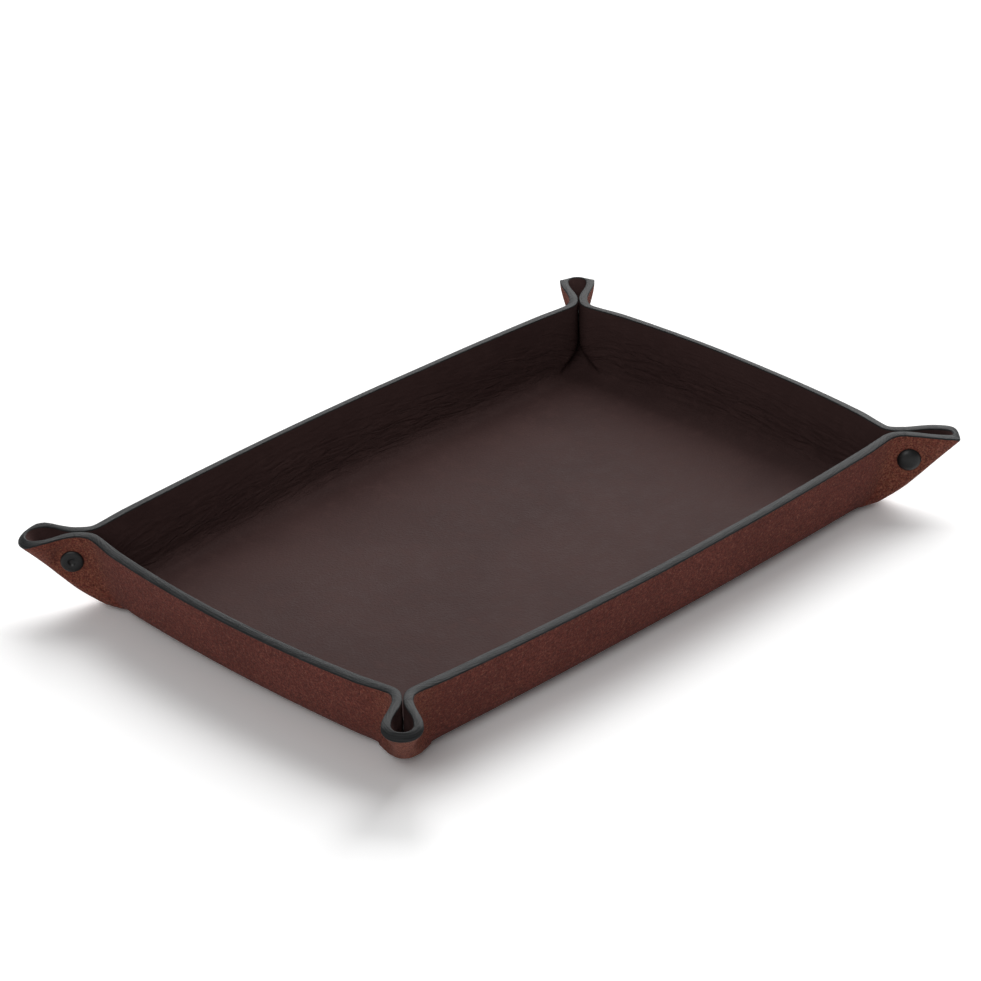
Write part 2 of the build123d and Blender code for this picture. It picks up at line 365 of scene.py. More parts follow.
def drop_at(places):
    """How much lower the rim is cut at places in an ear, more and more towards its tip."""
    corner = np.array([base_length, base_width]) / 2 + wall_reach(rim_height, 0)
    out = (np.abs(places[:, :2]) - corner).sum(axis=1) / root_two
    tip = stem_reach(rim_height, leather_thickness) - root_two * wall_reach(rim_height, 0)
    drops = np.where((places[:, :2] > 0).all(axis=1), back_ear_drop, ear_drop)
    return drops * np.clip(out / tip, 0, 1) ** 2


inner_tops = rim_height - drop_at(rim_outline)
rim_line = wall_grid(0, inner_tops)[-1]
below_rim = wall_grid(0, inner_tops - edge_round)[-1]
along_rim = np.roll(rim_line, -1, axis=0) - np.roll(rim_line, 1, axis=0)
outward = unit_rows(np.cross(along_rim, rim_line - below_rim))
outward = smooth_round(outward, outward_smoothing)
outer_tops = inner_tops + leather_thickness * np.minimum(outward[:, 2], 0)


def face_grid(offset, tops):
    return np.concatenate([stack(bend_heights(offset), offset), wall_grid(offset, tops)])


inner = face_grid(0, inner_tops - edge_round)
outer = face_grid(leather_thickness, outer_tops - edge_round)
outer_edge = wall_grid(leather_thickness, outer_tops)[-1]
print("the outer face stops up to", in_millimetres((inner_tops - outer_tops).max()), "mm below the inner one")

# %% [markdown]
# The rim itself is a strip between the two faces. Its two corners are rounded a little, as an edge that was
# cut, sanded and painted, and the strip is very slightly crowned.

# %% The rounded rim between the two faces
corner_turns = 4
flat_turns = 6
crown = 0.00018


def rounded_corner(start, corner, end, turns):
    rows = []
    for t in np.linspace(0, 1, turns + 1)[1:]:
        rows.append((1 - t) ** 2 * start + 2 * t * (1 - t) * corner + t**2 * end)
    return rows


across_rim = unit_rows(outer_edge - rim_line)
inner_flat = rim_line + across_rim * edge_round
outer_flat = outer_edge - across_rim * edge_round
up_off_rim = unit_rows(np.cross(across_rim, along_rim))
up_off_rim *= np.sign(up_off_rim[:, 2:3])
rim_rows = rounded_corner(inner[-1], rim_line, inner_flat, corner_turns)
for t in np.linspace(0, 1, flat_turns + 1)[1:]:
    rim_rows.append(inner_flat * (1 - t) + outer_flat * t + up_off_rim * crown * math.sin(math.pi * t))
rim_rows += rounded_corner(outer_flat, outer_edge, outer[-1], corner_turns)[:-1]
rim_grid = np.array(rim_rows)
print(len(inner), "rows inside,", len(rim_grid), "on the rim and", len(outer), "outside")

# %% [markdown]
# Real leather isn't quite even. A few slow waves run along the walls, and both faces share them, so that
# the sheet keeps its thickness. They fade out at the corners, where the studs hold the leather.

# %% Slow waves along the walls
wave_size = 0.0002
rim_wave_size = 0.0002
waves_round = (5, 9, 14, 23)
wave_shares = (0.5, 0.3, 0.25, 0.12)
waves_start = (0.4, 2.1, 4.0, 1.2)
wave_fade_power = 0.7
rim_wave_shift = around // 7
round_share = distance_round / steps_along.sum()
corner_points = 2 * sum(corner_steps)
wall_parts = []
for steps in (side_wall_steps, end_wall_steps) * 2:
    along_share = (np.arange(steps) + 0.5) / steps
    wall_parts += [np.zeros(corner_points), np.sin(np.pi * along_share) ** wave_fade_power]
on_wall = np.concatenate(wall_parts)
wave = sum(
    share * np.sin(2 * np.pi * count * round_share + start)
    for count, share, start in zip(waves_round, wave_shares, waves_start)
)
level_outward = outward * (1, 1, 0)


def add_waves(grid):
    height_share = np.clip(grid[..., 2:3] / rim_height, 0, 1)
    shift = wave_size * height_share * (on_wall * wave)[None, :, None] * level_outward[None]
    lift = rim_wave_size * height_share**3 * (on_wall * np.roll(wave, rim_wave_shift))[None, :, None]
    return grid + shift + lift * np.array([0, 0, 1])


inner, rim_grid, outer = add_waves(inner), add_waves(rim_grid), add_waves(outer)
print("waves move the rim by up to", in_millimetres(wave_size * abs(wave).max(), 2), "mm")

# %% [markdown]
# A press stud is squeezed onto the leather by a hand press, which leaves a shallow dish round its cap and
# brings both layers of the ear flat together. So the points near each stud's axis are moved along it to the
# place of their face there, fully under the cap and less further out.

# %% Where the studs are, and the dishes they leave
stud_height = rim_height - stud_below_rim
stud_out = wall_reach(stud_height, 0) + stud_out_along_ear / root_two
outer_layer_face = layer_gap / 2 + leather_thickness
dish_depth = 0.0004
dish_start = 0.0056
dish_end = 0.0100


def base_corner(signs):
    return np.array([signs[0] * base_length / 2, signs[1] * base_width / 2, 0])


def ear_direction(signs):
    return np.array([signs[0], signs[1], 0]) / root_two


def stud_direction(signs):
    """From the end wall's layer to the side wall's layer."""
    return np.array([-signs[0], signs[1], 0]) / root_two


def stud_centre(signs):
    x, y = signs[0] * (base_length / 2 + stud_out), signs[1] * (base_width / 2 + stud_out)
    return np.array([x, y, stud_height])


def press_dishes(points, face):
    """Bring a face of the sheet to its place under the studs, where both layers are pressed flat."""
    points = points.copy()
    for signs in corners.values():
        offset = points - stud_centre(signs)
        depth = offset @ stud_direction(signs)
        radial = np.linalg.norm(offset - depth[:, None] * stud_direction(signs), axis=1)
        near = np.clip((dish_end - radial) / (dish_end - dish_start), 0, 1)
        in_ear = abs(depth) < 2 * outer_layer_face
        near = smooth_step(near) * in_ear
        points += (near * (np.sign(depth) * face - depth))[:, None] * stud_direction(signs)
    return points


inner = press_dishes(inner.reshape(-1, 3), layer_gap / 2).reshape(inner.shape)
outer = press_dishes(outer.reshape(-1, 3), outer_layer_face - dish_depth).reshape(outer.shape)
print("studs stand", in_millimetres(stud_height), "mm above the desk")

# %% [markdown]
# Now the grids become one closed mesh: the floor inside, the inner face, the rim, the outer face and the
# underside. The faces carry one of three finishes. A UV map holds how far a point lies along the outline
# and across the sheet, so that creases can run along the walls. Two attributes say where the leather
# creases and where it is a stem, because both change how it looks.

# %% One closed mesh of the whole sheet
grain, flesh, edge = 0, 1, 2
floor_insets = (0.997, 0.985, 0.95, 0.85)


def floor_rings(ring):
    return np.array([ring * (share, share, 1) for share in floor_insets])


rows = np.concatenate([floor_rings(inner[0])[::-1], inner, rim_grid, outer[::-1], floor_rings(outer[0])])
row_finish = (
    [grain] * (len(floor_insets) + len(inner) - 1)
    + [edge] * (len(rim_grid) + 1)
    + [flesh] * (len(outer) - 1 + len(floor_insets))
)
row_count = len(rows)
points = rows.reshape(-1, 3)
column = np.arange(around)
quads = []
for row in range(row_count - 1):
    a = row * around + column
    b = row * around + (column + 1) % around
    quads.append(np.column_stack([a, b, b + around, a + around]))
quads = np.concatenate(quads)
quad_finish = np.repeat(row_finish, around)
last_row = (row_count - 1) * around
faces = quads.tolist() + [column[::-1].tolist(), (last_row + column).tolist()]
finishes = quad_finish.tolist() + [grain, flesh]
print(len(points), "points and", len(faces), "faces")

# %% The leather's UV map and attributes
crease_fade = 0.003
crease_low = 0.004
crease_high = 0.022
stem_spread = 0.012
across_steps = np.linalg.norm(np.diff(rows, axis=0), axis=2)
across_sheet = np.concatenate([np.zeros((1, around)), np.cumsum(across_steps, axis=0)])
along_sheet = np.tile(distance_round, (row_count, 1))
height_of = rows[..., 2]
from_middle = (height_of - (crease_low + crease_high) / 2) / (crease_high - crease_low)
crease = np.exp(-2 * from_middle**2)
crease *= np.clip((height_of - leather_thickness) / crease_fade, 0, 1)
stem = np.zeros((row_count, around))
for signs in corners.values():
    off_fold = (rows - base_corner(signs)) @ stud_direction(signs)
    out_along = (rows - base_corner(signs)) @ ear_direction(signs)
    near_stem = np.exp(-((off_fold / stem_spread) ** 2)) * np.clip(out_along / stem_spread, 0, 1)
    stem = np.maximum(stem, near_stem)
print("creases up to", round(float(crease.max()), 2), "and stems up to", round(float(stem.max()), 2))

# %% Make the mesh
sheet_mesh = bpy.data.meshes.new("whole_sheet")
sheet_mesh.from_pydata(points.tolist(), [], faces)
sheet_mesh.polygons.foreach_set("material_index", finishes)
sheet_mesh.polygons.foreach_set("use_smooth", [True] * len(faces))
for name, values in (("crease", crease), ("stem", stem)):
    attribute = sheet_mesh.attributes.new(name, "FLOAT", "POINT")
    attribute.data.foreach_set("value", values.reshape(-1).astype(np.float32))
uv_map = sheet_mesh.uv_layers.new(name="along_the_wall")
loop_points = np.zeros(len(sheet_mesh.loops), dtype=np.int64)
sheet_mesh.loops.foreach_get("vertex_index", loop_points)
uv = np.column_stack([along_sheet.reshape(-1)[loop_points], across_sheet.reshape(-1)[loop_points]])
quad_uv = uv[: 4 * len(quads)].reshape(row_count - 1, around, 4, 2)
quad_uv[:, -1, 1:3, 0] = steps_along.sum()
uv_map.data.foreach_set("uv", uv.reshape(-1).astype(np.float32))
sheet_mesh.update()
print("the sheet's mesh has", len(sheet_mesh.polygons), "faces")

# %% [markdown]
# The finishes are node trees. A short helper adds nodes and wires them by name. Most patterns read Object
# coordinates, in metres, so a scale of 1000 gives detail of about a millimetre. The creases and the lines on
# the rim follow the leather instead, so they read its UV map, stretched along the wall.

# %% A helper that builds a material

# A Mix node's sockets share their names, so those for colours go by number
mix_first, mix_second, mix_result = 6, 7, 2


class Finish:
    """A material under construction. Depths and places are in metres, and scales are per metre."""

    def __init__(self, name):
        self.material = bpy.data.materials.new(name)
        self.material.use_nodes = True
        self.tree = self.material.node_tree
        self.shader = self.tree.nodes["Principled BSDF"]
        self.place = self.add("ShaderNodeTexCoord").outputs["Object"]

    def add(self, kind, **settings):
        node = self.tree.nodes.new(kind)
        for key, value in settings.items():
            if hasattr(node, key):
                setattr(node, key, value)
            else:
                node.inputs[key.replace("_", " ")].default_value = value
        return node

    def link(self, output, target):
        self.tree.links.new(output, target)

    def stretched(self, source, scale):
        node = self.add("ShaderNodeMapping")
        node.inputs["Scale"].default_value = scale
        self.link(source, node.inputs["Vector"])
        return node.outputs["Vector"]

    def noise(self, scale, detail=4, roughness=0.6, place=None, distortion=0):
        node = self.add("ShaderNodeTexNoise", Scale=scale, Detail=detail, Roughness=roughness)
        node.inputs["Distortion"].default_value = distortion
        self.link(place or self.place, node.inputs["Vector"])
        return node.outputs["Fac"]

    def cells(self, scale, feature="F1", randomness=1, place=None):
        node = self.add("ShaderNodeTexVoronoi", feature=feature, Scale=scale, Randomness=randomness)
        self.link(place or self.place, node.inputs["Vector"])
        return node.outputs["Distance"]

    def ramp(self, source, low, high, start=0, end=1):
        node = self.add("ShaderNodeMapRange", interpolation_type="SMOOTHSTEP")
        for key, value in (("From Min", low), ("From Max", high), ("To Min", start), ("To Max", end)):
            node.inputs[key].default_value = value
        self.link(source, node.inputs["Value"])
        return node.outputs["Result"]

    def math(self, operation, first, second):
        node = self.add("ShaderNodeMath", operation=operation)
        for socket, value in zip(node.inputs, (first, second)):
            if isinstance(value, (int, float)):
                socket.default_value = value
            else:
                self.link(value, socket)
        return node.outputs["Value"]

    def blend(self, share, first, second):
        node = self.add("ShaderNodeMix", data_type="RGBA")
        self.link(share, node.inputs["Factor"])
        for socket, value in ((node.inputs[mix_first], first), (node.inputs[mix_second], second)):
            if isinstance(value, tuple):
                socket.default_value = (*value, 1)
            else:
                self.link(value, socket)
        return node.outputs[mix_result]

    def attribute(self, name):
        node = self.add("ShaderNodeAttribute", attribute_name=name)
        return node.outputs["Fac"]

    def uv(self):
        return self.add("ShaderNodeUVMap", uv_map="along_the_wall").outputs["UV"]

    def bump(self, height, distance, before=None):
        node = self.add("ShaderNodeBump", Distance=distance)
        self.link(height, node.inputs["Height"])
        if before:
            self.link(before, node.inputs["Normal"])
        return node.outputs["Normal"]

    def set(self, **values):
        for key, value in values.items():
            socket = self.shader.inputs[key.replace("_", " ")]
            if isinstance(value, bpy.types.NodeSocket):
                self.link(value, socket)
            else:
                socket.default_value = (*value, 1) if isinstance(value, tuple) else value


print("a finish is made with", ", ".join(name for name in vars(Finish) if not name.startswith("_")))

# %% [markdown]
# The grain side is the face that shows inside the tray: dark brown, with hardly any gloss. It has fine
# pebbles from the hide, slow changes of tone, and creases that run along the walls where the sheet bends.

# %% The grain side
grain_dark = (0.0505, 0.0280, 0.0265)
grain_light = (0.0590, 0.0330, 0.0310)
grain_mottle = (0.0735, 0.0410, 0.0380)
pebble_depth = 0.00011
pore_depth = 0.00005
crease_depth = 0.0006
slow_depth = 0.0004
crease_scale = (70, 420, 1)
grain_finish = Finish("leather_grain")
tone = grain_finish.noise(14, detail=3)
mottle = grain_finish.noise(160, detail=3)
pebbles = grain_finish.cells(950, feature="SMOOTH_F1")
pores = grain_finish.noise(2600, detail=2)
along_wall = grain_finish.stretched(grain_finish.uv(), crease_scale)
creases = grain_finish.noise(1, detail=5, roughness=0.62, place=along_wall, distortion=0.9)
crease_lines = grain_finish.ramp(creases, 0.3, 0.7)
crease_share = grain_finish.attribute("crease")
deep_brown = grain_finish.blend(grain_finish.ramp(tone, 0.35, 0.65), grain_dark, grain_light)
grain_colour = grain_finish.blend(grain_finish.ramp(mottle, 0.45, 0.8, 0, 0.45), deep_brown, grain_mottle)
pebble_bump = grain_finish.bump(pebbles, pebble_depth)
pore_bump = grain_finish.bump(pores, pore_depth, pebble_bump)
crease_height = grain_finish.math("MULTIPLY", crease_lines, crease_share)
crease_bump = grain_finish.bump(crease_height, crease_depth, pore_bump)
slow_bump = grain_finish.bump(grain_finish.noise(30, detail=1), slow_depth, crease_bump)
grain_finish.set(
    Base_Color=grain_colour,
    Roughness=grain_finish.ramp(mottle, 0.3, 0.7, 0.46, 0.54),
    Normal=slow_bump,
    Specular_IOR_Level=0.015,
)
print("the grain side has", len(grain_finish.tree.nodes), "nodes")

# %% [markdown]
# The flesh side is the back of the hide, which shows outside: matt, reddish brown and fibrous, with small
# lighter and darker specks. Where the leather is folded hard, over the stems, the fibres open and it turns
# lighter and more orange.

# %% The flesh side
red_brown_dark = (0.165, 0.0360, 0.0245)
red_brown_light = (0.215, 0.0510, 0.0360)
light_tufts = (0.330, 0.115, 0.080)
dark_fibres = (0.070, 0.0165, 0.0120)
opened_fibres = (0.330, 0.125, 0.070)
speck_depth = 0.00025
fibre_depth = 0.00035
tuft_depth = 0.0007
flesh_finish = Finish("leather_flesh")
patches = flesh_finish.noise(30, detail=4)
fibres = flesh_finish.noise(1100, detail=5, roughness=0.75)
specks = flesh_finish.cells(620)
tufts = flesh_finish.noise(620, detail=5, roughness=0.8)
stem_share = flesh_finish.attribute("stem")
red_brown = flesh_finish.blend(flesh_finish.ramp(patches, 0.3, 0.7), red_brown_dark, red_brown_light)
speckled = flesh_finish.blend(flesh_finish.ramp(tufts, 0.49, 0.67, 0, 0.85), red_brown, light_tufts)
darkened = flesh_finish.blend(flesh_finish.ramp(fibres, 0.41, 0.59, 0.85, 0), speckled, dark_fibres)
fine_fibres = flesh_finish.noise(1250, detail=4, roughness=0.8)
stem_light = flesh_finish.math("MULTIPLY", flesh_finish.ramp(fine_fibres, 0.44, 0.64, 0, 0.8), stem_share)
flesh_colour = flesh_finish.blend(stem_light, darkened, opened_fibres)
speck_bump = flesh_finish.bump(specks, speck_depth)
fibre_bump = flesh_finish.bump(fibres, fibre_depth, speck_bump)
tuft_bump = flesh_finish.bump(tufts, tuft_depth, fibre_bump)
flesh_finish.set(
    Base_Color=flesh_colour,
    Roughness=0.92,
    Normal=tuft_bump,
    Specular_IOR_Level=0.12,
    Sheen_Weight=0.05,
    Sheen_Roughness=0.6,
)
print("the flesh side has", len(flesh_finish.tree.nodes), "nodes")

# %% [markdown]
# The cut edge is sanded and painted dark grey. The layers of the hide still show in it as faint lines that
# run along the rim.

# %% The cut edge
edge_dark = (0.010, 0.0105, 0.011)
edge_light = (0.026, 0.027, 0.028)
strand_scale = (90, 1500, 1)
strand_depth = 0.00018
dust_depth = 0.0001
edge_finish = Finish("leather_cut_edge")
along_rim_place = edge_finish.stretched(edge_finish.uv(), strand_scale)
strands = edge_finish.noise(1, detail=4, roughness=0.6, place=along_rim_place)
dust = edge_finish.noise(900, detail=4)
edge_colour = edge_finish.blend(edge_finish.ramp(strands, 0.35, 0.65), edge_dark, edge_light)
edge_bump = edge_finish.bump(strands, strand_depth, edge_finish.bump(dust, dust_depth))
edge_finish.set(Base_Color=edge_colour, Roughness=0.55, Normal=edge_bump, Specular_IOR_Level=0.15)
leather_finishes = [grain_finish.material, flesh_finish.material, edge_finish.material]
print("the cut edge has", len(edge_finish.tree.nodes), "nodes")

# %% [markdown]
# When a stud is pulled open, the side wall's layer of its ear comes away with the cap, and the leather
# bends from the stem and from far along the wall. So that part of the sheet is cut off the whole mesh as
# two pieces, the ear's layer and the end of the wall. A blend follows one straight direction. Each piece has
# its own, and both give the same bend on the plane where the pieces meet. Here these directions only choose
# which faces go into each piece, and the pieces keep their rest shape.

# %% How the leather bends when a stud opens
bend_free_above_fold = 0.001
full_bend_distance = 0.0045
seam_foot_out = 0.0135
seam_top_out = 0.016
wall_bend_length = 0.080


def fold_height(out):
    """How high the inner fold line lies at a distance out of the base's corner."""
    reach = out + base_corner_cut
    return stem_radius + leather_thickness - math.sqrt(stem_radius**2 - reach**2)


def ear_lines():
    """Places in the upright plane of an ear: distance out of the base's corner, and height."""
    stud_place = np.array([root_two * stud_out, stud_height])
    under_stud = np.array([stud_place[0], fold_height(stud_place[0]) + bend_free_above_fold])
    tip = np.array([stem_reach(rim_height - ear_drop, 0), rim_height - ear_drop])
    return under_stud, tip


def ear_gradient():
    under_stud, tip = ear_lines()
    along = (tip - under_stud) / np.linalg.norm(tip - under_stud)
    square = np.array([-along[1], along[0]])
    return under_stud, square / full_bend_distance


def wall_gradient():
    """How the wall's end bends: as the ear does on the seam, and not at all from its foot to the far rim."""
    start, ear = ear_gradient()
    seam_foot = np.array([seam_foot_out, 0])
    seam_foot[1] = start[1] - (seam_foot_out - start[0]) * ear[0] / ear[1]
    seam_top = np.array([seam_top_out, rim_height])
    far_out = (wall_reach(rim_height, 0) * 2 - wall_bend_length) / root_two
    far = np.array([far_out, rim_height])
    on_seam = (seam_top - start) @ ear
    wall = np.linalg.solve(np.array([seam_top - seam_foot, far - seam_foot]), np.array([on_seam, 0]))
    return seam_foot, wall, seam_top


seam_foot, wall_bend, seam_top = wall_gradient()
print("the ear bends over", in_millimetres(full_bend_distance), "mm")
print("the wall bends over", in_millimetres(1 / np.linalg.norm(wall_bend)), "mm")

# %% Cut the corner pieces off the sheet
seam_search = 0.06
cut_tolerance = 0.000001


def upright_direction(signs, direction):
    return ear_direction(signs) * direction[0] + np.array([0, 0, direction[1]])


def upright_place(signs, place):
    """A place in an ear's upright plane, as a point of the tray."""
    return base_corner(signs) + upright_direction(signs, place)


whole = bmesh.new()
whole.from_mesh(sheet_mesh)
seam = seam_top - seam_foot
seam_normal = np.array([seam[1], -seam[0]])
for signs in corners.values():
    centre = Vector(stud_centre(signs))
    walls = [face for face in whole.faces if len(face.verts) < around]
    near = [face for face in walls if (face.calc_center_median() - centre).length < seam_search]
    near_edges = {edge for face in near for edge in face.edges}
    near_points = {point for face in near for point in face.verts}
    bmesh.ops.bisect_plane(
        whole,
        geom=near + list(near_edges) + list(near_points),
        dist=cut_tolerance,
        plane_co=upright_place(signs, seam_foot),
        plane_no=upright_direction(signs, seam_normal),
    )
whole.normal_update()
whole.faces.ensure_lookup_table()
print("after the seams are cut the sheet has", len(whole.faces), "faces")

# %% Sort the faces into pieces
point_places = np.array([point.co for point in whole.verts])
point_normals = np.array([point.normal for point in whole.verts])
whole.verts.index_update()
face_points = [[point.index for point in face.verts] for face in whole.faces]
face_middles = np.array([face.calc_center_median() for face in whole.faces])
ear_start, ear_bend = ear_gradient()
piece_of = np.zeros(len(whole.faces), dtype=int)
piece_names = ["tray_leather"]
for corner, signs in corners.items():
    on_cap_side = (face_middles - base_corner(signs)) @ stud_direction(signs) > 0
    at_corner = (face_middles[:, 0] * signs[0] > 0) & (face_middles[:, 1] * signs[1] > 0)
    foot = upright_place(signs, seam_foot)
    beyond_seam = (face_middles - foot) @ upright_direction(signs, seam_normal) > 0
    for name, start, bend, past in (
        ("ear_leather_" + corner, ear_start, ear_bend, beyond_seam),
        ("wall_leather_" + corner, seam_foot, wall_bend, ~beyond_seam),
    ):
        piece_names.append(name)
        bent = (point_places - upright_place(signs, start)) @ upright_direction(signs, bend) > 0
        bending = np.array([bent[numbers].any() for numbers in face_points])
        piece_of[at_corner & past & bending & on_cap_side] = len(piece_names) - 1
print("faces in each piece:", np.bincount(piece_of).tolist())

# %% Make the pieces of leather
place_digits = 7


def place_key(place):
    return tuple(np.round(place, place_digits))


normal_at = {place_key(place): normal for place, normal in zip(point_places, point_normals)}


def cut_piece(number, name):
    """Keep one piece's faces, shaded with the whole sheet's normals so that no seam shows."""
    part = whole.copy()
    part.faces.ensure_lookup_table()
    others = [face for face, piece in zip(part.faces, piece_of) if piece != number]
    bmesh.ops.delete(part, geom=others, context="FACES")
    mesh = bpy.data.meshes.new(name)
    part.to_mesh(mesh)
    part.free()
    places = np.zeros(len(mesh.vertices) * 3)
    mesh.vertices.foreach_get("co", places)
    normals = [normal_at[place_key(place)] for place in places.reshape(-1, 3)]
    mesh.normals_split_custom_set_from_vertices(normals)
    for material in leather_finishes:
        mesh.materials.append(material)
    piece = bpy.data.objects.new(name, mesh)
    bpy.context.collection.objects.link(piece)
    return piece


leather = {name: cut_piece(number, name) for number, name in enumerate(piece_names)}
whole.free()
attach(leather["tray_leather"], "tray")
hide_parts("leather_sheet")
for corner, signs in corners.items():
    for name, start, bend in (
        ("ear_leather_" + corner, ear_start, ear_bend),
        ("wall_leather_" + corner, seam_foot, wall_bend),
    ):
        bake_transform(leather[name])
print("leather pieces:", ", ".join(leather))

# %% [markdown]
# The studs' caps and backs are the only metal that shows. Each is turned on a lathe: the cap is a low dome
# with a rolled rim, and the back is a flat disc with a dimple in its middle. A turned piece follows a rule,
# so Geometry Nodes make all eight: one tree spins a profile and sets it on the ear.

# %% Profiles of the cap and the back, as radius and height in millimetres
cap_sunk = 0.00035
cap_seat = outer_layer_face - cap_sunk
dome_top = ((0.0, 2.4), (0.9, 2.38), (1.9, 2.26), (3.0, 2.0), (3.85, 1.66), (4.45, 1.28))
dome_rim = ((4.9, 0.9), (5.13, 0.58), (5.2, 0.34), (5.13, 0.1), (4.98, 0.0), (2.5, 0.0), (0.0, 0.0))
cap_dome = dome_top + dome_rim
dimple = ((0.0, 0.42), (0.8, 0.42), (1.2, 0.52), (1.5, 0.86), (1.75, 1.06), (2.05, 1.12))
disc = ((3.2, 1.08), (4.1, 0.96), (4.6, 0.72), (4.86, 0.42), (4.9, 0.2), (4.82, 0.05), (4.6, 0.0), (2.0, 0.0))
back_disc = dimple + disc + ((0.0, 0.0),)
spindle_radius = 0.001
pole_distance = 0.000001
turned_steps = 72
print("a cap is", 2 * max(radius for radius, height in cap_dome), "mm across")

# %% A lathe made of Geometry Nodes


def lathe_tree():
    """Sweep a profile round a small circle, close its poles, turn it to an axis and put it on its seat."""
    tree = bpy.data.node_groups.new("stud_lathe", "GeometryNodeTree")
    kinds = {"Profile": "Geometry", "Steps": "Int", "Axis": "Vector", "Seat": "Vector", "Finish": "Material"}
    for name, kind in kinds.items():
        tree.interface.new_socket(name, in_out="INPUT", socket_type="NodeSocket" + kind)
    tree.interface.new_socket("Piece", in_out="OUTPUT", socket_type="NodeSocketGeometry")

    def add(kind, output, **inputs):
        node = tree.nodes.new(kind)
        for key, value in inputs.items():
            socket = node.inputs[key.replace("_", " ")]
            if isinstance(value, bpy.types.NodeSocket):
                tree.links.new(value, socket)
            else:
                socket.default_value = value
        return node.outputs[output]

    given = tree.nodes.new("NodeGroupInput").outputs
    line = add("GeometryNodeMeshToCurve", "Curve", Mesh=given["Profile"])
    circle = "GeometryNodeCurvePrimitiveCircle"
    spindle = add(circle, "Curve", Resolution=given["Steps"], Radius=spindle_radius)
    spun = add("GeometryNodeCurveToMesh", "Mesh", Curve=spindle, Profile_Curve=line)
    closed = add("GeometryNodeMergeByDistance", "Geometry", Geometry=spun, Distance=pole_distance)
    turn = add("FunctionNodeAlignRotationToVector", "Rotation", Vector=given["Axis"])
    turned_up = add("GeometryNodeTransform", "Geometry", Geometry=closed, Rotation=turn)
    seated = add("GeometryNodeTransform", "Geometry", Geometry=turned_up, Translation=given["Seat"])
    smooth = add("GeometryNodeSetShadeSmooth", "Geometry", Geometry=seated)
    real = add("GeometryNodeRealizeInstances", "Geometry", Geometry=smooth)
    finished = add("GeometryNodeSetMaterial", "Geometry", Geometry=real, Material=given["Finish"])
    tree.links.new(finished, tree.nodes.new("NodeGroupOutput").inputs["Piece"])
    return tree


lathe = lathe_tree()
lathe_sockets = [item for item in lathe.interface.items_tree if item.in_out == "INPUT"]
lathe_inputs = {socket.name: socket.identifier for socket in lathe_sockets}
print("the lathe has", len(lathe.nodes), "nodes and asks for", ", ".join(lathe_inputs))

# %% Turn one piece


def turned(name, profile, signs, facing, finish):
    """Spin a profile round a stud's axis. Facing is 1 on the side wall's layer and -1 on the end wall's."""
    line = bpy.data.meshes.new(name + "_profile")
    places = [(radius * millimetre - spindle_radius, -height * millimetre, 0) for radius, height in profile]
    line.from_pydata(places, [(step, step + 1) for step in range(len(places) - 1)], [])
    piece = bpy.data.objects.new(name, line)
    bpy.context.collection.objects.link(piece)
    spin = piece.modifiers.new("lathe", "NODES")
    spin.node_group = lathe
    out = stud_direction(signs) * facing
    spin[lathe_inputs["Steps"]] = turned_steps
    spin[lathe_inputs["Axis"]] = out.tolist()
    spin[lathe_inputs["Seat"]] = (stud_centre(signs) + out * cap_seat).tolist()
    spin[lathe_inputs["Finish"]] = finish.material
    evaluated = piece.evaluated_get(bpy.context.evaluated_depsgraph_get())
    mesh = bpy.data.meshes.new_from_object(evaluated)
    piece.modifiers.remove(spin)
    piece.data = mesh
    return piece


# %% [markdown]
# The enamel on the studs is black and semi-gloss, with very fine orange peel. The hidden pieces have a
# black oxide finish, and the spring is bright wire.

# %% Metal finishes
enamel_dark = (0.0045, 0.0045, 0.0050)
enamel_worn = (0.0085, 0.0085, 0.0090)
oxide_dark = (0.035, 0.035, 0.037)
oxide_light = (0.075, 0.073, 0.072)
wire_dark = (0.42, 0.42, 0.43)
wire_light = (0.6, 0.6, 0.6)
peel_depth = 0.00004
oxide_depth = 0.00002
drawn_depth = 0.00001
enamel = Finish("black_enamel")
peel = enamel.noise(900, detail=3)
wear = enamel.noise(420, detail=5, roughness=0.7)
enamel.set(
    Base_Color=enamel.blend(enamel.ramp(wear, 0.5, 0.8), enamel_dark, enamel_worn),
    Roughness=enamel.ramp(wear, 0.3, 0.7, 0.3, 0.42),
    Normal=enamel.bump(peel, peel_depth),
    Specular_IOR_Level=0.4,
)
oxide = Finish("black_oxide")
oxide_grain = oxide.noise(1400, detail=4)
oxide.set(
    Base_Color=oxide.blend(oxide_grain, oxide_dark, oxide_light),
    Metallic=0.8,
    Roughness=oxide.ramp(oxide_grain, 0.3, 0.7, 0.36, 0.5),
    Normal=oxide.bump(oxide_grain, oxide_depth),
)
wire = Finish("spring_wire")
drawn = wire.noise(2400, detail=3)
wire.set(
    Base_Color=wire.blend(drawn, wire_dark, wire_light),
    Metallic=1,
    Roughness=wire.ramp(drawn, 0.3, 0.7, 0.22, 0.34),
    Normal=wire.bump(drawn, drawn_depth),
)
print("metal finishes:", ", ".join(finish.material.name for finish in (enamel, oxide, wire)))

# %% Caps, backs and the hidden pieces
for corner, signs in corners.items():
    cap = turned("stud_cap_" + corner, cap_dome, signs, 1, enamel)
    back = turned("stud_back_" + corner, back_disc, signs, -1, enamel)
    for piece, body, node in (
        (cap, "snap_half_" + corner, "snap_cap_" + corner),
        (back, "tray", "snap_post_" + corner),
    ):
        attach(piece, body)
        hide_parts(node)
    for kind, finish in (("socket", oxide), ("stud", oxide), ("spring", wire)):
        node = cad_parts["snap_" + kind + "_" + corner]
        node.data.materials.clear()
        node.data.materials.append(finish.material)
print("studs dressed at", ", ".join(corners))

# %% [markdown]
# The floor is white paper. A camera sees it brighter than other rays do, so the background is white while
# the tray's shadow stays on it, and no extra light has to fall on the leather.

